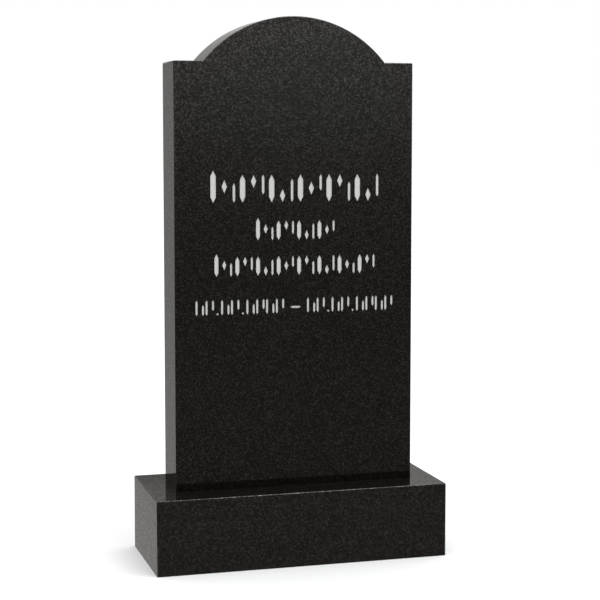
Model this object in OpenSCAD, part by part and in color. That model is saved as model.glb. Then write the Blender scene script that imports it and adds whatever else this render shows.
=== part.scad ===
// Headstone: an arched upright slab standing on a rectangular plinth, both cut
// from one dark gabbro. All sizes are in millimetres. The origin is the middle
// of the plinth's underside, +Z is up and the inscribed face looks along -Y.

/* [Stele] */
// Width of the upright slab
stele_w = 495; // [400:5:600]
// Thickness of the slab, front to back
stele_t = 110; // [60:5:160]
// Height of the level shoulders above the slab's foot
shoulder_h = 855; // [650:5:1200]
// Width of the level shoulder on each side of the arch
shoulder_w = 60; // [20:1:90]
// Rise of the arched head above the shoulders
arch_rise = 90; // [50:1:130]
// How far the slab stands behind the middle of the plinth
stele_back = 0; // [-40:1:40]

/* [Plinth] */
// Width of the plinth
plinth_w = 600; // [500:5:900]
// Depth of the plinth, front to back
plinth_d = 250; // [200:5:400]
// Height of the plinth
plinth_h = 150; // [80:5:250]

/* [Arrises] */
// Size of the small flat that takes the sharpness off each edge
arris = 2; // [0.5:0.5:4]

/* [Inscription rows] */
// Depth of the cut strokes
cut_depth = 1.2; // [0.4:0.1:3]
// Distance from the shoulder line down to each row's foot, top row first
row_drop = [279, 355, 426, 503]; // [150:1:600]
// Height of the strokes in each row
row_h = [55, 39, 39, 31]; // [20:1:70]
// Number of stroke groups in each of the first three rows
row_groups = [6, 4, 8]; // [2:1:8]
// Clear stone left at each end of the first row
first_margin = 68; // [50:1:90]
// Clear stone left at each end of the third row; the second row has its spacing
third_margin = 77; // [60:1:90]
// Clear stone left at each end of the last row
last_margin = 40; // [25:1:60]

/* [Inscription strokes] */
// Width of the broad strokes in each row
broad_w = [11, 8, 8, 4]; // [2:0.5:12]
// Width of the narrow strokes in each row
narrow_w = [5, 4, 4, 4]; // [1.5:0.5:6]
// Width of the lozenges in each of the first three rows
lozenge_w = [11, 8, 8]; // [4:0.5:12]
// Height of a lozenge next to its width
lozenge_tall = 2.4; // [1.5:0.1:2.6]
// How much taller the first group of a row is than the others
lead_tall = 1.16; // [1:0.02:1.3]
// Share of a group's pitch that its strokes fill
group_fill = 0.84; // [0.7:0.02:0.9]
// Number of tally marks in each half of the last row
tally_marks = 8; // [4:2:8]
// Space that a dot takes in the last row, next to one mark's pitch
dot_space = 0.55; // [0.4:0.05:0.8]
// Space that the dash takes in the middle of the last row, in pitches
dash_space = 2.2; // [1.6:0.1:3]

/* [Hidden] */
$fn = 96;
stone = [0.14, 0.14, 0.14];
over = 1;                       // how far a cutter stands out of the face it cuts
tally_row = 3;                  // index of the last row
arch_half = stele_w / 2 - shoulder_w;
arch_r = (arch_half * arch_half + arch_rise * arch_rise) / (2 * arch_rise);
arch_centre_h = shoulder_h + arch_rise - arch_r;
dots = tally_marks / 2 - 2;     // a dot follows each of the first pairs of marks
tally_pitches = 2 * (tally_marks + dots * dot_space) + dash_space;

// The second and third rows share one spacing, so that both read as one size
first_pitch = (stele_w - 2 * first_margin) / row_groups[0];
third_pitch = (stele_w - 2 * third_margin) / row_groups[2];
group_pitch = [first_pitch, third_pitch, third_pitch];
tally_length = stele_w - 2 * last_margin;
tally_pitch = tally_length / tally_pitches;

// Where a tally mark's middle lies along its half of the last row, in pitches
function tally_place(mark) = mark + 0.5 + min(floor(mark / 2), dots) * dot_space;

// A rectangle centred on X with its foot on the X axis and its top corners eased
module eased_top(w, h)
    polygon([[-w / 2, 0], [w / 2, 0], [w / 2, h - arris], [w / 2 - arris, h],
             [arris - w / 2, h], [-w / 2, h - arris]]);

// A block that stands on the XY plane, eased on all its edges but the lowest four
module eased_block(w, d, h)
    intersection() {
        linear_extrude(h)
            intersection() {
                translate([0, -d / 2]) eased_top(w, d);
                rotate(180) translate([0, -d / 2]) eased_top(w, d);
            }
        rotate([90, 0, 90]) translate([0, 0, -w / 2]) linear_extrude(w) eased_top(d, h);
        rotate([90, 0, 0]) translate([0, 0, -d / 2]) linear_extrude(d) eased_top(w, h);
    }

// The round head: a disc with eased rims, kept from the shoulders' arris upward
module arch_head()
    intersection() {
        translate([0, 0, arch_centre_h])
            rotate([90, 0, 0])
                rotate_extrude($fn = 360)
                    polygon([[0, -stele_t / 2], [arch_r - arris, -stele_t / 2],
                             [arch_r, arris - stele_t / 2], [arch_r, stele_t / 2 - arris],
                             [arch_r - arris, stele_t / 2], [0, stele_t / 2]]);
        translate([-stele_w / 2, -stele_t / 2, shoulder_h - arris])
            cube([stele_w, stele_t, arch_rise + 2 * arris]);
    }

// A bar with pointed ends, from its lower point at the origin up to height h
module pointed_bar(w, h)
    let (tip = min(w, h / 2))
        polygon([[0, 0], [w / 2, tip], [w / 2, h - tip], [0, h],
                 [-w / 2, h - tip], [-w / 2, tip]]);

// A lozenge with its lowest point at the origin
module lozenge(w, h)
    polygon([[0, 0], [w / 2, h / 2], [0, h], [-w / 2, h / 2]]);

// One group: a broad upright, a lozenge and a shorter narrow upright, side by side
module stroke_group(row, i) {
    h = row_h[row] * (i == 0 ? lead_tall : 1);
    narrow_h = h * (0.6 + 0.12 * (i % 3));
    lozenge_h = lozenge_w[row] * lozenge_tall;
    left = -group_pitch[row] * group_fill / 2 + broad_w[row] / 2;
    right = group_pitch[row] * group_fill / 2 - narrow_w[row] / 2;
    middle = (left + broad_w[row] / 2 + right - narrow_w[row] / 2) / 2;
    translate([left, 0]) pointed_bar(broad_w[row], h);
    translate([middle, (h - lozenge_h) * ((i + 1) % 3) / 2]) lozenge(lozenge_w[row], lozenge_h);
    translate([right, i % 2 == 0 ? 0 : h - narrow_h]) pointed_bar(narrow_w[row], narrow_h);
}

// One of the first three rows, centred on the slab
module group_row(row)
    for (i = [0 : row_groups[row] - 1])
        translate([(i + 0.5 - row_groups[row] / 2) * group_pitch[row], 0]) stroke_group(row, i);

// One tally mark: two narrow strokes, the second one shorter
module tally_mark(i) {
    half = tally_pitch * group_fill / 2;
    short_h = row_h[tally_row] * 0.7;
    translate([broad_w[tally_row] / 2 - half, 0])
        pointed_bar(broad_w[tally_row], row_h[tally_row]);
    translate([half - narrow_w[tally_row] / 2, i % 2 == 0 ? 0 : row_h[tally_row] - short_h])
        pointed_bar(narrow_w[tally_row], short_h);
}

// Half of the last row, from x = 0: marks in pairs, with a dot after the first pairs
module tally_half() {
    for (i = [0 : tally_marks - 1])
        translate([tally_place(i) * tally_pitch, 0]) tally_mark(i);
    for (i = [0 : dots - 1])
        translate([(2 * (i + 1) + (i + 0.5) * dot_space) * tally_pitch, 0])
            lozenge(1.25 * narrow_w[tally_row], 1.25 * narrow_w[tally_row]);
}

// The last row: two halves with a dash between them
module tally_line() {
    dash = tally_pitch * dash_space / 2;
    translate([-tally_length / 2, 0]) tally_half();
    translate([dash_space * tally_pitch / 2, 0]) tally_half();
    translate([dash / 2, row_h[tally_row] * 0.4]) rotate(90)
        pointed_bar(narrow_w[tally_row], dash);
}

// All the rows as shallow cutters in the slab's front face
module inscription()
    translate([0, cut_depth - stele_t / 2, 0])
        rotate([90, 0, 0])
            linear_extrude(cut_depth + over) {
                for (row = [0 : tally_row - 1])
                    translate([0, shoulder_h - row_drop[row]]) group_row(row);
                translate([0, shoulder_h - row_drop[tally_row]]) tally_line();
            }

// The upright slab, standing on the plinth
module stele()
    color(stone)
        translate([0, stele_back, plinth_h])
            difference() {
                union() {
                    eased_block(stele_w, stele_t, shoulder_h);
                    arch_head();
                }
                inscription();
            }

// The base block, resting on the ground
module plinth()
    color(stone) eased_block(plinth_w, plinth_d, plinth_h);

stele();
plinth();
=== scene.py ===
"""Looks of a headstone: an arched stele on a rectangular plinth, both in polished black gabbro.

Both stones are lofted meshes with rounded arrises. The stele's front carries rows of shallow cut
strokes. The stones stand on a pale studio floor under soft light.
"""

import logging
import math
from dataclasses import dataclass, field
from enum import Enum
from typing import Any, Iterable, Optional, Sequence

import bpy
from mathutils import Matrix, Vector
from mathutils.geometry import delaunay_2d_cdt


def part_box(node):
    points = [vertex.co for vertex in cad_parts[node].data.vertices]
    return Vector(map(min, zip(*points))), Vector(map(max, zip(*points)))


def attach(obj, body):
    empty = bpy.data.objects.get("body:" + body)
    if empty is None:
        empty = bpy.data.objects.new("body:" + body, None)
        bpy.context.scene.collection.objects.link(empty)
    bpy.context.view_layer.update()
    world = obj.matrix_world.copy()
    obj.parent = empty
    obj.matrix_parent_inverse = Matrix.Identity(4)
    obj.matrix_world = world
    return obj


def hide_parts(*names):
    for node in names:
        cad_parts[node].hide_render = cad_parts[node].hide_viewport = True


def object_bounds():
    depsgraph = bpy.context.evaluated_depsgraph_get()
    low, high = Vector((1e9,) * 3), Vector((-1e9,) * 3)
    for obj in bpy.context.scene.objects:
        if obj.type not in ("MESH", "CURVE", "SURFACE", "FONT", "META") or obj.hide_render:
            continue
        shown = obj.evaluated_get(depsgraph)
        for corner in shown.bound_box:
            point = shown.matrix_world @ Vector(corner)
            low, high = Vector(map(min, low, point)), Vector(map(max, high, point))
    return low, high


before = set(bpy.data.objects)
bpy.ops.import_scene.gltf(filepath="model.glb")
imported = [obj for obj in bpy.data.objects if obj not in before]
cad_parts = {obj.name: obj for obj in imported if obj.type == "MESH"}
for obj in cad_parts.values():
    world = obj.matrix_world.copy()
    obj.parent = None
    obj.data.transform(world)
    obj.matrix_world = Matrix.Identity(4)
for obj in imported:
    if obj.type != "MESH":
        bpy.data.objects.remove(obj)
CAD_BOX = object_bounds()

LOG = logging.getLogger("headstone")
MM = 0.001

# The slab's width and the height of its shoulders above its foot, in millimetres.
STELE_WIDTH = 495
SHOULDER_HEIGHT = 855
# Number of the inscription's last row, the one of tally marks.
TALLY_ROW = 3
# Places in a noise between which its dark part turns into its pale part.
NOISE_DARK = 0.35
NOISE_PALE = 0.65
# How the flat faces are filled: triangles inside the outlines, and points this near are one, in metres.
FILL_INSIDE = 1
FILL_TOLERANCE = 1e-6

Point2 = tuple[float, float]
Point3 = tuple[float, float, float]


class Zone(Enum):
    """Which finish a face of a stone takes. The value is its place among the piece's materials."""

    POLISHED = 0
    SAWN = 1
    CUT = 2


# --------------------------------------------------------------------------- node helpers


def linear(hex_code: str) -> tuple[float, float, float, float]:
    """Turns an sRGB hex colour into linear RGBA.

    Args:
        hex_code: six hex digits after a hash sign, such as "#1a1a19".

    Returns:
        The linear red, green and blue, and an alpha of 1.
    """
    parts = [int(hex_code[i : i + 2], 16) / 255 for i in (1, 3, 5)]
    red, green, blue = [
        part / 12.92 if part <= 0.04045 else ((part + 0.055) / 1.055) ** 2.4 for part in parts
    ]
    return (red, green, blue, 1.0)


def add_node(
    tree: bpy.types.NodeTree,
    kind: str,
    settings: Optional[dict[str, Any]] = None,
    inputs: Optional[dict[Any, Any]] = None,
) -> bpy.types.Node:
    """Adds a node, sets it up and links what feeds it.

    Args:
        tree: the node tree that the node goes into.
        kind: the node's type name.
        settings: values for the node's own properties.
        inputs: for each input, by name or number, a value or the output that feeds it.

    Returns:
        The new node.
    """
    node = tree.nodes.new(kind)
    for name, value in (settings or {}).items():
        setattr(node, name, value)
    for key, value in (inputs or {}).items():
        if isinstance(value, bpy.types.NodeSocket):
            tree.links.new(value, node.inputs[key])
        else:
            node.inputs[key].default_value = value
    return node


def set_ramp(node: bpy.types.Node, stops: Sequence[tuple[float, Sequence[float]]]) -> None:
    """Gives a colour ramp its stops.

    Args:
        node: the colour ramp.
        stops: each stop's place from 0 to 1 and its linear RGBA.
    """
    elements = node.color_ramp.elements
    while len(elements) < len(stops):
        elements.new(0.5)
    for element, (place, colour) in zip(elements, stops):
        element.position = place
        element.color = colour


def per_metre(size_mm: float) -> float:
    """How many features of that size in millimetres lie along a metre."""
    return 1 / (size_mm * MM)


def grey(value: float) -> tuple[float, float, float, float]:
    """A neutral linear RGBA of that value."""
    return (value, value, value, 1.0)


def empty_material(name: str) -> bpy.types.Material:
    """Makes a material whose node tree is empty.

    Args:
        name: the material's name.

    Returns:
        The material.
    """
    material = bpy.data.materials.new(name)
    material.use_nodes = True
    material.node_tree.nodes.clear()
    return material


# --------------------------------------------------------------------------- finishes


@dataclass(frozen=True)
class PolishedGabbro:
    """Black gabbro, sawn and then polished to a mirror with fine grit.

    Near-black pyroxene, slightly paler feldspar and flecks of iron ore take the same polish, but
    they mirror more or less strongly: a dark mirror with a fine salt-and-pepper grain in it.
    """

    name: str = "gabbro_polished"
    pyroxene: str = "#0b0906"
    feldspar: str = "#0f0e0b"
    ore: str = "#1a1917"
    # The real grains are about 1 mm across. They are drawn twice as wide, so that they still show.
    grain_mm: float = 2.0
    # Broad clouds make the stone a little darker and paler from place to place.
    cloud_mm: float = 45.0
    cloud_low: float = 0.3
    cloud_high: float = 0.7
    cloud_darkest: float = 0.9
    cloud_palest: float = 1.1
    # How much of the polish's strong mirror each mineral has.
    pyroxene_gloss: float = 0.0
    feldspar_gloss: float = 0.15
    ore_gloss: float = 1.0
    # Where feldspar lies between pyroxene at 0 and ore at 1. Grains in between are mixed.
    feldspar_place: float = 0.65
    ior: float = 1.55
    specular: float = 0.23
    roughness: float = 0.05
    gloss_ior: float = 1.8
    # This block's base colour next to the usual one's: painted light, a gain that makes a paler copy of
    # the same stone stand in for more light falling on it.
    painted_light_gain: float = 1.0

    def build(self) -> bpy.types.Material:
        """Makes the material.

        Returns:
            The polished stone's material.
        """
        material = empty_material(self.name)
        tree = material.node_tree
        place = add_node(tree, "ShaderNodeTexCoord").outputs["Object"]
        scale = per_metre(self.grain_mm)
        grains = add_node(tree, "ShaderNodeTexVoronoi", {}, {"Vector": place, "Scale": scale})
        parts = add_node(tree, "ShaderNodeSeparateColor", {}, {"Color": grains.outputs["Color"]})
        kind = parts.outputs["Red"]
        minerals = [linear(colour) for colour in (self.pyroxene, self.feldspar, self.ore)]
        glosses = [grey(gloss) for gloss in (self.pyroxene_gloss, self.feldspar_gloss, self.ore_gloss)]
        cloud_scale = per_metre(self.cloud_mm)
        cloud = add_node(tree, "ShaderNodeTexNoise", {}, {"Vector": place, "Scale": cloud_scale})
        # Broad clouds times the painted-light gain: a gain above 1 paints in extra light by paling the
        # whole stone.
        shade = add_node(
            tree,
            "ShaderNodeMapRange",
            {},
            {
                "Value": cloud.outputs["Fac"],
                "From Min": self.cloud_low,
                "From Max": self.cloud_high,
                "To Min": self.cloud_darkest * self.painted_light_gain,
                "To Max": self.cloud_palest * self.painted_light_gain,
            },
        )
        colour = add_node(
            tree,
            "ShaderNodeVectorMath",
            {"operation": "SCALE"},
            {0: self.by_mineral(tree, kind, minerals), "Scale": shade.outputs["Result"]},
        )
        shader = add_node(
            tree,
            "ShaderNodeBsdfPrincipled",
            {},
            {
                "Base Color": colour.outputs["Vector"],
                "Roughness": self.roughness,
                "IOR": self.ior,
                "Specular IOR Level": self.specular,
                "Coat Weight": self.by_mineral(tree, kind, glosses),
                "Coat Roughness": self.roughness,
                "Coat IOR": self.gloss_ior,
            },
        )
        add_node(tree, "ShaderNodeOutputMaterial", {}, {"Surface": shader.outputs["BSDF"]})
        return material

    def by_mineral(
        self, tree: bpy.types.NodeTree, kind: bpy.types.NodeSocket, values: Sequence[Sequence[float]]
    ) -> bpy.types.NodeSocket:
        """Adds a ramp that gives each grain the value of its mineral.

        Args:
            tree: the material's node tree.
            kind: the socket that gives each grain its number from 0 to 1.
            values: linear RGBA of pyroxene, feldspar and ore.

        Returns:
            The socket that gives the value.
        """
        ramp = add_node(tree, "ShaderNodeValToRGB", {}, {"Fac": kind})
        set_ramp(ramp, list(zip((0.0, self.feldspar_place, 1.0), values)))
        return ramp.outputs["Color"]


@dataclass(frozen=True)
class SawnGabbro:
    """The same gabbro as it leaves the gang saw: matt mid grey with fine parallel saw lines."""

    name: str = "gabbro_sawn"
    dark: str = "#3b3b39"
    pale: str = "#565553"
    # Width of one saw mark. A ridge and a groove together take two.
    saw_mm: float = 3.0
    # The wave texture repeats every 0.314 of its unit, so this makes two marks one repeat.
    wave_stretch: float = 6.3
    saw_waver: float = 0.6
    saw_depth_mm: float = 0.3
    saw_strength: float = 0.3
    grain_mm: float = 1.5
    grain_detail: float = 2.0
    roughness: float = 0.75
    ior: float = 1.5

    def build(self) -> bpy.types.Material:
        """Makes the material.

        Returns:
            The sawn stone's material.
        """
        material = empty_material(self.name)
        tree = material.node_tree
        place = add_node(tree, "ShaderNodeTexCoord").outputs["Object"]
        grain = add_node(
            tree,
            "ShaderNodeTexNoise",
            {},
            {"Vector": place, "Scale": per_metre(self.grain_mm), "Detail": self.grain_detail},
        )
        saw = add_node(
            tree,
            "ShaderNodeTexWave",
            {"bands_direction": "Y"},
            {
                "Vector": place,
                "Scale": per_metre(self.wave_stretch * self.saw_mm),
                "Distortion": self.saw_waver,
            },
        )
        colour = add_node(tree, "ShaderNodeValToRGB", {}, {"Fac": grain.outputs["Fac"]})
        set_ramp(colour, [(NOISE_DARK, linear(self.dark)), (NOISE_PALE, linear(self.pale))])
        bump = add_node(
            tree,
            "ShaderNodeBump",
            {},
            {
                "Strength": self.saw_strength,
                "Distance": self.saw_depth_mm * MM,
                "Height": saw.outputs["Fac"],
            },
        )
        shader = add_node(
            tree,
            "ShaderNodeBsdfPrincipled",
            {},
            {
                "Base Color": colour.outputs["Color"],
                "Roughness": self.roughness,
                "IOR": self.ior,
                "Normal": bump.outputs["Normal"],
            },
        )
        add_node(tree, "ShaderNodeOutputMaterial", {}, {"Surface": shader.outputs["BSDF"]})
        return material


@dataclass(frozen=True)
class BlastedGabbro:
    """Gabbro cut through its polish by grit blasting.

    The crushed crystals scatter light, so the shallow cuts read as an even frosted pale grey.
    """

    name: str = "gabbro_blasted"
    dark: str = "#b6b6b4"
    pale: str = "#c9c9c7"
    grit_mm: float = 0.9
    grit_detail: float = 3.0
    grit_depth_mm: float = 0.15
    grit_strength: float = 0.35
    roughness: float = 0.9
    ior: float = 1.5
    specular: float = 0.2

    def build(self) -> bpy.types.Material:
        """Makes the material.

        Returns:
            The blasted cuts' material.
        """
        material = empty_material(self.name)
        tree = material.node_tree
        place = add_node(tree, "ShaderNodeTexCoord").outputs["Object"]
        grit = add_node(
            tree,
            "ShaderNodeTexNoise",
            {},
            {"Vector": place, "Scale": per_metre(self.grit_mm), "Detail": self.grit_detail},
        )
        colour = add_node(tree, "ShaderNodeValToRGB", {}, {"Fac": grit.outputs["Fac"]})
        set_ramp(colour, [(NOISE_DARK, linear(self.dark)), (NOISE_PALE, linear(self.pale))])
        bump = add_node(
            tree,
            "ShaderNodeBump",
            {},
            {
                "Strength": self.grit_strength,
                "Distance": self.grit_depth_mm * MM,
                "Height": grit.outputs["Fac"],
            },
        )
        shader = add_node(
            tree,
            "ShaderNodeBsdfPrincipled",
            {},
            {
                "Base Color": colour.outputs["Color"],
                "Roughness": self.roughness,
                "IOR": self.ior,
                "Specular IOR Level": self.specular,
                "Normal": bump.outputs["Normal"],
            },
        )
        add_node(tree, "ShaderNodeOutputMaterial", {}, {"Surface": shader.outputs["BSDF"]})
        return material


# --------------------------------------------------------------------------- mesh helpers


@dataclass
class StoneMesh:
    """Collects the faces of one stone, in metres, and makes its object."""

    name: str
    points: list[Point3] = field(default_factory=list)
    faces: list[Sequence[int]] = field(default_factory=list)
    smooth: list[bool] = field(default_factory=list)
    zones: list[Zone] = field(default_factory=list)
    sharp: set[tuple[int, int]] = field(default_factory=set)

    def add_points(self, points: Iterable[Point3]) -> list[int]:
        """Adds points and returns their numbers."""
        start = len(self.points)
        self.points.extend(points)
        return list(range(start, len(self.points)))

    def add_face(self, corners: Sequence[int], zone: Zone, smooth: bool = False) -> None:
        """Adds a face.

        Args:
            corners: its points' numbers, anticlockwise from outside.
            zone: the finish it takes.
            smooth: whether it is shaded as part of a curve.
        """
        self.faces.append(list(corners))
        self.zones.append(zone)
        self.smooth.append(smooth)

    def add_flat_region(
        self, rim: Sequence[int], flat: Sequence[Point2], holes: Sequence[Sequence[int]], flip: bool
    ) -> None:
        """Fills a flat outline with triangles and leaves its holes open.

        Args:
            rim: the outline's point numbers, anticlockwise in the plane.
            flat: every mesh point's place in the plane, by point number.
            holes: the point numbers of each hole's outline, anticlockwise too.
            flip: whether the faces look the other way.
        """
        rings = [list(rim), *[list(hole) for hole in holes]]
        numbers = [number for ring in rings for number in ring]
        local = {number: index for index, number in enumerate(numbers)}
        places = [Vector(flat[number]) for number in numbers]
        polygons = [[local[number] for number in ring] for ring in rings]
        made, _, triangles, made_from, _, owners = delaunay_2d_cdt(
            places, [], polygons, FILL_INSIDE, FILL_TOLERANCE, True
        )
        if len(made) != len(numbers):
            raise ValueError(f"{self.name}: the flat region's outlines touch each other")
        for triangle, owner in zip(triangles, owners):
            # Only what belongs to the rim and to no hole is stone.
            if list(owner) != [0]:
                continue
            corners = [numbers[made_from[corner][0]] for corner in triangle]
            self.add_face(corners[::-1] if flip else corners, Zone.POLISHED)

    def build(self, materials: Sequence[bpy.types.Material]) -> bpy.types.Object:
        """Makes the object.

        Args:
            materials: the finishes, in the order of Zone.

        Returns:
            The stone, linked into the scene.
        """
        mesh = bpy.data.meshes.new(self.name)
        mesh.from_pydata(self.points, [], self.faces)
        mesh.polygons.foreach_set("use_smooth", self.smooth)
        used = sorted({zone.value for zone in self.zones})
        for value in used:
            mesh.materials.append(materials[value])
        mesh.polygons.foreach_set("material_index", [used.index(zone.value) for zone in self.zones])
        for edge in mesh.edges:
            if tuple(sorted(edge.vertices)) in self.sharp:
                edge.use_edge_sharp = True
        mesh.validate()
        mesh.update()
        stone = bpy.data.objects.new(self.name, mesh)
        bpy.context.scene.collection.objects.link(stone)
        return stone


def corner_points(centre: Point2, radius: float, start: float, steps: int) -> list[Point2]:
    """Points along a quarter circle, anticlockwise.

    Args:
        centre: the circle's centre.
        radius: the circle's radius.
        start: the direction of the first point, in degrees.
        steps: how many straight steps the quarter takes.

    Returns:
        The points, both ends among them.
    """
    turns = [math.radians(start + 90 * step / steps) for step in range(steps + 1)]
    return [(centre[0] + radius * math.cos(turn), centre[1] + radius * math.sin(turn)) for turn in turns]


def inset_polygon(outline: Sequence[Point2], distance: float) -> list[Point2]:
    """Moves every side of a convex outline inward by the same distance.

    Args:
        outline: the corners, anticlockwise.
        distance: how far each side moves.

    Returns:
        The corners of the smaller outline.
    """
    inner: list[Point2] = []
    count = len(outline)
    for index in range(count):
        before, here, after = (Vector(outline[(index + step) % count]) for step in (-1, 0, 1))
        first = (here - before).normalized()
        second = (after - here).normalized()
        normal_1 = Vector((-first.y, first.x))
        normal_2 = Vector((-second.y, second.x))
        moved = here + (normal_1 + normal_2) * (distance / (1 + normal_1.dot(normal_2)))
        inner.append((moved.x, moved.y))
    return inner


# --------------------------------------------------------------------------- the stones


@dataclass
class Inscription:
    """Rows of shallow cut strokes: groups of a broad bar, a lozenge and a narrow bar, then tally marks.

    Sizes are in millimetres, heights from the foot of the stele.
    """

    width: float = STELE_WIDTH
    shoulder_height: float = SHOULDER_HEIGHT
    depth: float = 1.2
    # How far a cut's wall leans inward from its rim to its floor.
    slope: float = 0.5
    row_drop: tuple[float, ...] = (279, 355, 426, 503)
    row_height: tuple[float, ...] = (55, 39, 39, 31)
    row_groups: tuple[int, ...] = (6, 4, 8)
    first_margin: float = 68
    third_margin: float = 77
    last_margin: float = 40
    broad: tuple[float, ...] = (11, 8, 8, 4)
    narrow: tuple[float, ...] = (5, 4, 4, 4)
    lozenge_width: tuple[float, ...] = (11, 8, 8)
    lozenge_tall: float = 2.4
    lead_tall: float = 1.16
    group_fill: float = 0.84
    # Height of a group's narrow bar next to its broad one, and how much each next one adds.
    narrow_tall: float = 0.6
    narrow_step: float = 0.12
    tally_marks: int = 8
    tally_short: float = 0.7
    dot_size: float = 1.25
    dot_space: float = 0.55
    dash_space: float = 2.2
    dash_height: float = 0.4

    @staticmethod
    def bar(x: float, z: float, width: float, height: float) -> list[Point2]:
        """An upright bar with pointed ends, its lower point at x, z."""
        tip = min(width, height / 2)
        half = width / 2
        right = [(half, tip), (half, height - tip)]
        left = [(-half, height - tip), (-half, tip)]
        shape = [(0, 0), *right, (0, height), *left]
        return [(x + across, z + up) for across, up in shape]

    @staticmethod
    def lozenge(x: float, z: float, width: float, height: float) -> list[Point2]:
        """A lozenge with its lowest point at x, z."""
        shape = [(0, 0), (width / 2, height / 2), (0, height), (-width / 2, height / 2)]
        return [(x + across, z + up) for across, up in shape]

    def group(self, row: int, index: int, pitch: float, x: float, z: float) -> list[list[Point2]]:
        """One group of three strokes.

        Args:
            row: the row's number.
            index: the group's number in its row.
            pitch: the distance between groups.
            x: the group's middle.
            z: the row's foot.

        Returns:
            The strokes' outlines.
        """
        height = self.row_height[row] * (self.lead_tall if index == 0 else 1)
        short = height * (self.narrow_tall + self.narrow_step * (index % 3))
        lozenge_height = self.lozenge_width[row] * self.lozenge_tall
        left = -pitch * self.group_fill / 2 + self.broad[row] / 2
        right = pitch * self.group_fill / 2 - self.narrow[row] / 2
        middle = (left + self.broad[row] / 2 + right - self.narrow[row] / 2) / 2
        lift = (height - lozenge_height) * ((index + 1) % 3) / 2
        return [
            self.bar(x + left, z, self.broad[row], height),
            self.lozenge(x + middle, z + lift, self.lozenge_width[row], lozenge_height),
            self.bar(x + right, z if index % 2 == 0 else z + height - short, self.narrow[row], short),
        ]

    def tally_half(self, start: float, z: float, pitch: float) -> list[list[Point2]]:
        """Half of the last row: pairs of tally marks, with a dot after each of the first pairs.

        Args:
            start: where the half begins.
            z: the row's foot.
            pitch: the distance between marks.

        Returns:
            The strokes' outlines.
        """
        strokes: list[list[Point2]] = []
        dots = self.tally_marks // 2 - 2
        tall = self.row_height[TALLY_ROW]
        short = self.tally_short * tall
        broad, narrow = self.broad[TALLY_ROW], self.narrow[TALLY_ROW]
        half = pitch * self.group_fill / 2
        for mark in range(self.tally_marks):
            x = start + (mark + 0.5 + min(mark // 2, dots) * self.dot_space) * pitch
            strokes.append(self.bar(x + broad / 2 - half, z, broad, tall))
            lift = 0 if mark % 2 == 0 else tall - short
            strokes.append(self.bar(x + half - narrow / 2, z + lift, narrow, short))
        for dot in range(dots):
            x = start + (2 * (dot + 1) + (dot + 0.5) * self.dot_space) * pitch
            side = self.dot_size * narrow
            strokes.append(self.lozenge(x, z, side, side))
        return strokes

    def strokes(self) -> list[list[Point2]]:
        """Every stroke's outline on the face, anticlockwise as seen from the front.

        Returns:
            The outlines, in millimetres.
        """
        result: list[list[Point2]] = []
        first_pitch = (self.width - 2 * self.first_margin) / self.row_groups[0]
        third_pitch = (self.width - 2 * self.third_margin) / self.row_groups[2]
        pitches = (first_pitch, third_pitch, third_pitch)
        for row, (groups, pitch) in enumerate(zip(self.row_groups, pitches)):
            foot = self.shoulder_height - self.row_drop[row]
            for index in range(groups):
                result += self.group(row, index, pitch, (index + 0.5 - groups / 2) * pitch, foot)
        foot = self.shoulder_height - self.row_drop[TALLY_ROW]
        dots = self.tally_marks / 2 - 2
        length = self.width - 2 * self.last_margin
        pitch = length / (2 * (self.tally_marks + dots * self.dot_space) + self.dash_space)
        result += self.tally_half(-length / 2, foot, pitch)
        result += self.tally_half(self.dash_space * pitch / 2, foot, pitch)
        dash = pitch * self.dash_space / 2
        lying = self.bar(0, 0, self.narrow[TALLY_ROW], dash)
        middle = foot + self.dash_height * self.row_height[TALLY_ROW]
        result.append([(dash / 2 - up, middle + across) for across, up in lying])
        return result


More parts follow.
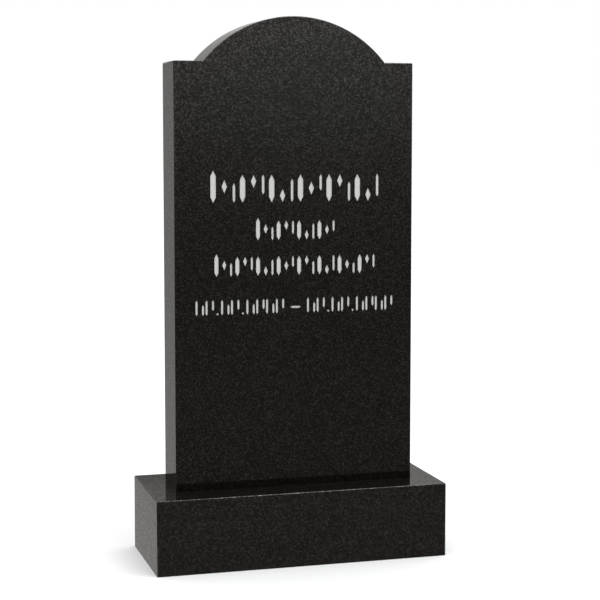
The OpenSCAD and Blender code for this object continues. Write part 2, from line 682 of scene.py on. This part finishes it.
@dataclass
class Stele:
    """The upright slab: level shoulders, an arched head, rounded arrises and the cut rows.

    Sizes are in millimetres, heights from the slab's foot.
    """

    foot: float
    width: float = STELE_WIDTH
    thickness: float = 110
    shoulder_height: float = SHOULDER_HEIGHT
    shoulder_width: float = 60
    arch_rise: float = 90
    arris: float = 2
    corner_radius: float = 3
    arris_steps: int = 4
    corner_steps: int = 4
    arch_steps: int = 120
    inscription: Inscription = field(default_factory=Inscription)

    @property
    def arch_radius(self) -> float:
        """Radius of the arched head."""
        half = self.width / 2 - self.shoulder_width
        return (half**2 + self.arch_rise**2) / (2 * self.arch_rise)

    def outline(self, inset: float) -> list[Point2]:
        """The slab's outline, anticlockwise from the front, from the right foot to the left one.

        Args:
            inset: how far the outline lies inside the full one. The foot stays where it is.

        Returns:
            The points across and up.
        """
        side = self.width / 2 - inset
        top = self.shoulder_height - inset
        centre = self.shoulder_height + self.arch_rise - self.arch_radius
        radius = self.arch_radius - inset
        notch = math.acos((top - centre) / radius)
        bend = self.corner_radius
        corner = (self.width / 2 - bend, self.shoulder_height - bend)
        right = corner_points(corner, bend - inset, 0, self.corner_steps)
        turns = [notch * (1 - 2 * step / self.arch_steps) for step in range(self.arch_steps + 1)]
        arch = [(radius * math.sin(turn), centre + radius * math.cos(turn)) for turn in turns]
        left = [(-x, z) for x, z in reversed(right)]
        return [(side, 0.0), *right, *arch, *left, (-side, 0.0)]

    def layers(self) -> list[tuple[float, float]]:
        """Depth and inset of each outline, from the front face to the back one.

        Returns:
            Pairs of the place front to back and the inset.
        """
        steps = range(self.arris_steps + 1)
        turns = [math.radians(90 * step / self.arris_steps) for step in steps]
        front = [
            (-self.thickness / 2 + self.arris * (1 - math.cos(turn)), self.arris * (1 - math.sin(turn)))
            for turn in turns
        ]
        return front + [(-depth, inset) for depth, inset in reversed(front)]

    def build(self, materials: Sequence[bpy.types.Material]) -> bpy.types.Object:
        """Makes the slab.

        Args:
            materials: the finishes, in the order of Zone.

        Returns:
            The slab's object.
        """
        mesh = StoneMesh("stele_stone")
        rings = [
            mesh.add_points((x * MM, depth * MM, (z + self.foot) * MM) for x, z in self.outline(inset))
            for depth, inset in self.layers()
        ]
        count = len(rings[0])
        first_arch = 1 + self.corner_steps + 1
        last_arch = first_arch + self.arch_steps
        # Where the outline runs straight: right side, right shoulder, left shoulder, left side, foot.
        straight = {0, first_arch - 1, last_arch, count - 2, count - 1}
        middle = self.arris_steps
        for layer in range(len(rings) - 1):
            for start in range(count):
                end = (start + 1) % count
                here, behind = rings[layer], rings[layer + 1]
                corners = (here[start], behind[start], behind[end], here[end])
                underside = start == count - 1
                flat = underside or (layer == middle and start in straight)
                mesh.add_face(corners, Zone.SAWN if underside else Zone.POLISHED, not flat)
            for notch in (first_arch, last_arch):
                mesh.sharp.add(tuple(sorted((rings[layer][notch], rings[layer + 1][notch]))))
        # Sharp rims keep the arch's own face evenly shaded across the slab's thickness.
        for ring in rings[middle : middle + 2]:
            for start in range(first_arch, last_arch):
                mesh.sharp.add(tuple(sorted((ring[start], ring[start + 1]))))
        holes = self.cut_strokes(mesh)
        flat_places = [(x, z) for x, _, z in mesh.points]
        mesh.add_flat_region(rings[0], flat_places, holes, False)
        mesh.add_flat_region(rings[-1], flat_places, [], True)
        return mesh.build(materials)

    def cut_strokes(self, mesh: StoneMesh) -> list[list[int]]:
        """Adds the sloped walls and the floor of every stroke.

        Args:
            mesh: the slab's mesh.

        Returns:
            The point numbers round each stroke's opening.
        """
        cut = self.inscription
        face = -self.thickness / 2
        holes: list[list[int]] = []
        for stroke in cut.strokes():
            rim = mesh.add_points((x * MM, face * MM, (z + self.foot) * MM) for x, z in stroke)
            inner = inset_polygon(stroke, cut.slope)
            bottom = (face + cut.depth) * MM
            floor = mesh.add_points((x * MM, bottom, (z + self.foot) * MM) for x, z in inner)
            for start in range(len(rim)):
                end = (start + 1) % len(rim)
                mesh.add_face((rim[start], rim[end], floor[end], floor[start]), Zone.CUT)
            mesh.add_face(floor, Zone.CUT)
            holes.append(rim)
        return holes


@dataclass
class Plinth:
    """The base block, with every edge rounded but those of the sawn underside.

    Sizes are in millimetres.
    """

    width: float = 600
    depth: float = 250
    height: float = 150
    arris: float = 2
    corner_radius: float = 3
    arris_steps: int = 4
    corner_steps: int = 4

    def outline(self, inset: float) -> list[Point2]:
        """The block's plan, anticlockwise from above.

        Args:
            inset: how far the outline lies inside the full one.

        Returns:
            The points across and back.
        """
        bend = self.corner_radius
        x, y = self.width / 2 - bend, self.depth / 2 - bend
        centres = ((x, y), (-x, y), (-x, -y), (x, -y))
        points: list[Point2] = []
        for quarter, centre in enumerate(centres):
            points += corner_points(centre, bend - inset, 90 * quarter, self.corner_steps)
        return points

    def build(self, materials: Sequence[bpy.types.Material]) -> bpy.types.Object:
        """Makes the block.

        Args:
            materials: the finishes, in the order of Zone.

        Returns:
            The block's object.
        """
        mesh = StoneMesh("plinth_stone")
        levels = [(0.0, 0.0)]
        for step in range(self.arris_steps + 1):
            turn = math.radians(90 * step / self.arris_steps)
            rise = self.height - self.arris + self.arris * math.sin(turn)
            levels.append((rise, self.arris * (1 - math.cos(turn))))
        rings = [
            mesh.add_points((x * MM, y * MM, height * MM) for x, y in self.outline(inset))
            for height, inset in levels
        ]
        count = len(rings[0])
        for layer in range(len(rings) - 1):
            for start in range(count):
                end = (start + 1) % count
                here, above = rings[layer], rings[layer + 1]
                corners = (here[start], here[end], above[end], above[start])
                side = start % (self.corner_steps + 1) == self.corner_steps
                mesh.add_face(corners, Zone.POLISHED, not (side and layer == 0))
        mesh.add_face(rings[-1], Zone.POLISHED)
        mesh.add_face(rings[0][::-1], Zone.SAWN)
        return mesh.build(materials)


# --------------------------------------------------------------------------- the studio


# Brightness of each side of the surround by the sine of the elevation, below the horizon where that
# is negative. SKY is what the sides behind share overhead.
SKY = ((0.33, 0.60), (0.44, 1.0), (1.0, 2.2))
FRONT = (
    (-0.26, 0.175),
    (-0.16, 0.17),
    (-0.094, 0.157),
    (-0.05, 0.21),
    (-0.016, 0.32),
    (0.036, 0.61),
    (0.064, 0.80),
    (0.09, 0.84),
    (0.13, 0.40),
    (0.17, 0.06),
    (0.26, 0.04),
    (0.33, 0.20),
    (0.45, 0.90),
    (1.0, 2.4),
)
BACK_LEFT = (
    (-0.25, 0.405),
    (-0.18, 0.36),
    (-0.08, 0.335),
    (0.03, 0.335),
    (0.10, 0.33),
    (0.15, 0.20),
    (0.20, 0.05),
    (0.2185, 0.06),
    (0.2215, 0.18),
    *SKY,
)
BACK = ((-0.25, 0.45), (-0.08, 0.36), (0.03, 0.36), (0.10, 0.48), (0.17, 0.54), (0.22, 0.42), *SKY)
BACK_DIM = (
    (-0.25, 0.45),
    (-0.08, 0.36),
    (0.03, 0.36),
    (0.10, 0.48),
    (0.16, 0.54),
    (0.195, 0.40),
    (0.208, 0.13),
    (0.2165, 0.13),
    (0.2185, 0.27),
    (0.24, 0.31),
    *SKY,
)
BACK_RIGHT = ((-0.25, 0.45), (-0.08, 0.37), (0.03, 0.38), (0.20, 0.34), *SKY)
# The studio's paper is a little warm: its red and its blue next to its green.
WARM_RED = 1.018
WARM_BLUE = 0.978
# Where each side gives way to the next one, as places from left to right and from front to back.
LEFT_SPAN = (-0.17, -0.08)
DIM_SPAN = (0.11, 0.17)
RIGHT_SPAN = (0.22, 0.30)
REAR_SPAN = (-0.6, 0.6)


@dataclass(frozen=True)
class Studio:
    """A pale floor, a soft surround, one softbox and the camera. Sizes are in metres."""

    floor_half: float = 30.0
    floor_colour: str = "#e3e5e7"
    key_place: Point3 = (1.2, -1.5, 4.3)
    key_aim: Point3 = (0.0, 0.0, 0.5)
    key_size: tuple[float, float] = (2.0, 2.0)
    key_watts: float = 50.0
    lens_mm: float = 96.63
    sensor_mm: float = 36.0
    camera_shift: float = -0.06
    # Where the camera stands, as seen from the stones' middle: degrees round, degrees up and metres.
    azimuth: float = -15.544
    elevation: float = 5.664
    distance: float = 3.296
    # The point that it looks at, from the stones' middle.
    aim_offset: Point3 = (0.0231, -0.0064, 0.049)

    def build_floor(self) -> bpy.types.Object:
        """Makes the pale floor.

        Returns:
            The floor. The polished stone doesn't mirror it: it mirrors the darker surround.
        """
        half = self.floor_half
        mesh = bpy.data.meshes.new("studio_floor")
        corners = [(-half, -half, 0), (half, -half, 0), (half, half, 0), (-half, half, 0)]
        mesh.from_pydata(corners, [], [(0, 1, 2, 3)])
        material = empty_material("floor_matt_paint")
        tree = material.node_tree
        shader = add_node(tree, "ShaderNodeBsdfDiffuse", {}, {"Color": linear(self.floor_colour)})
        add_node(tree, "ShaderNodeOutputMaterial", {}, {"Surface": shader.outputs["BSDF"]})
        mesh.materials.append(material)
        floor = bpy.data.objects.new("studio_floor", mesh)
        bpy.context.scene.collection.objects.link(floor)
        floor.visible_glossy = False
        return floor

    def build_surround(self) -> None:
        """Makes the surround that the stones mirror. Seen directly it is plain white."""
        world = bpy.data.worlds.new("studio_surround")
        bpy.context.scene.world = world
        world.use_nodes = True
        tree = world.node_tree
        tree.nodes.clear()
        place = add_node(tree, "ShaderNodeTexCoord").outputs["Generated"]
        parts = add_node(tree, "ShaderNodeSeparateXYZ", {}, {"Vector": place})
        height = add_node(
            tree,
            "ShaderNodeMapRange",
            {},
            {"Value": parts.outputs["Z"], "From Min": -1.0, "From Max": 1.0},
        )
        front, left, back, dim, right = [
            self.surround_ramp(tree, height.outputs["Result"], stops)
            for stops in (FRONT, BACK_LEFT, BACK, BACK_DIM, BACK_RIGHT)
        ]
        rear = self.blend(tree, left, back, parts.outputs["X"], LEFT_SPAN)
        rear = self.blend(tree, rear, dim, parts.outputs["X"], DIM_SPAN)
        rear = self.blend(tree, rear, right, parts.outputs["X"], RIGHT_SPAN)
        around = self.blend(tree, front, rear, parts.outputs["Y"], REAR_SPAN)
        seen = add_node(tree, "ShaderNodeLightPath")
        shown = add_node(
            tree,
            "ShaderNodeMix",
            {"data_type": "RGBA"},
            {0: seen.outputs["Is Camera Ray"], 6: around, 7: grey(1.0)},
        )
        background = add_node(tree, "ShaderNodeBackground", {}, {"Color": shown.outputs[2]})
        add_node(tree, "ShaderNodeOutputWorld", {}, {"Surface": background.outputs["Background"]})

    @staticmethod
    def blend(
        tree: bpy.types.NodeTree,
        low: bpy.types.NodeSocket,
        high: bpy.types.NodeSocket,
        place: bpy.types.NodeSocket,
        span: tuple[float, float],
    ) -> bpy.types.NodeSocket:
        """Blends two sides of the surround softly into each other.

        Args:
            tree: the world's node tree.
            low: the side before the span.
            high: the side after it.
            place: the socket that gives where a direction lies.
            span: the places at which the blend starts and ends.

        Returns:
            The socket that gives the blended brightness.
        """
        share = add_node(
            tree,
            "ShaderNodeMapRange",
            {"interpolation_type": "SMOOTHSTEP"},
            {"Value": place, "From Min": span[0], "From Max": span[1]},
        )
        mix = add_node(
            tree, "ShaderNodeMix", {"data_type": "RGBA"}, {0: share.outputs["Result"], 6: low, 7: high}
        )
        return mix.outputs[2]

    @staticmethod
    def surround_ramp(
        tree: bpy.types.NodeTree, height: bpy.types.NodeSocket, stops: Sequence[tuple[float, float]]
    ) -> bpy.types.NodeSocket:
        """Adds one side of the surround.

        Args:
            tree: the world's node tree.
            height: the socket that gives the height of a direction, from 0 below to 1 above.
            stops: the sine of each elevation, and the brightness there.

        Returns:
            The socket that gives the side's brightness.
        """
        ramp = add_node(tree, "ShaderNodeValToRGB", {}, {"Fac": height})
        warm = [(value * WARM_RED, value, value * WARM_BLUE, 1.0) for _, value in stops]
        set_ramp(ramp, [((stop[0] + 1) / 2, colour) for stop, colour in zip(stops, warm)])
        return ramp.outputs["Color"]

    @staticmethod
    def add_soft_light(
        name: str, place: Point3, aim: Point3, size: tuple[float, float], power: float
    ) -> None:
        """Adds a rectangular soft light.

        Args:
            name: the light's name.
            place: where it stands.
            aim: the point it faces.
            size: its width and height.
            power: its power in watts.
        """
        lamp = bpy.data.lights.new(name, "AREA")
        lamp.shape = "RECTANGLE"
        lamp.size, lamp.size_y = size
        lamp.energy = power
        light = bpy.data.objects.new(name, lamp)
        light.location = place
        light.rotation_euler = (Vector(aim) - Vector(place)).to_track_quat("-Z", "Y").to_euler()
        bpy.context.scene.collection.objects.link(light)

    def build_lights(self) -> None:
        """Makes the big softbox, high up at the front right."""
        self.add_soft_light("key_softbox", self.key_place, self.key_aim, self.key_size, self.key_watts)

    def build_camera(self, lowest: Vector, highest: Vector) -> None:
        """Makes the camera, a little left of the front and a little above the middle.

        Args:
            lowest: the lowest corner of the whole stone.
            highest: its highest corner.
        """
        camera = bpy.data.cameras.new("camera")
        camera.lens = self.lens_mm
        camera.sensor_width = self.sensor_mm
        camera.shift_y = self.camera_shift
        azimuth, elevation = math.radians(self.azimuth), math.radians(self.elevation)
        centre = (lowest + highest) / 2
        away = Vector(
            (
                math.sin(azimuth) * math.cos(elevation),
                -math.cos(azimuth) * math.cos(elevation),
                math.sin(elevation),
            )
        )
        eye = bpy.data.objects.new("camera", camera)
        eye.location = centre + away * self.distance
        aim = centre + Vector(self.aim_offset)
        eye.rotation_euler = (aim - eye.location).to_track_quat("-Z", "Y").to_euler()
        bpy.context.scene.collection.objects.link(eye)
        bpy.context.scene.camera = eye


def main() -> None:
    """Builds the studio and both stones, and ties each stone to the frame."""
    logging.basicConfig(level=logging.INFO, format="%(name)s: %(message)s")
    bpy.context.scene.view_settings.view_transform = "Standard"
    studio = Studio()
    studio.build_camera(*CAD_BOX)
    studio.build_floor()
    studio.build_surround()
    studio.build_lights()
    sawn, blasted = SawnGabbro().build(), BlastedGabbro().build()
    stele_polish = PolishedGabbro().build()
    # The plinth is the same stone with 1.5 times its base colour: painted light standing in for the
    # brighter light on its top and ledge.
    plinth_polish = PolishedGabbro(name="gabbro_polished_painted_light", painted_light_gain=1.5).build()
    plinth_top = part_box("plinth")[1].z / MM
    stones = (
        ("stele", "stele_stone", Stele(foot=plinth_top), (stele_polish, sawn, blasted)),
        ("plinth", "plinth_stone", Plinth(), (plinth_polish, sawn)),
    )
    for node, slot, maker, materials in stones:
        stone = maker.build(materials)
        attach(stone, "root")
        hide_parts(node)
        LOG.info("%s: %d faces", stone.name, len(stone.data.polygons))


if __name__ == "__main__":
    main()
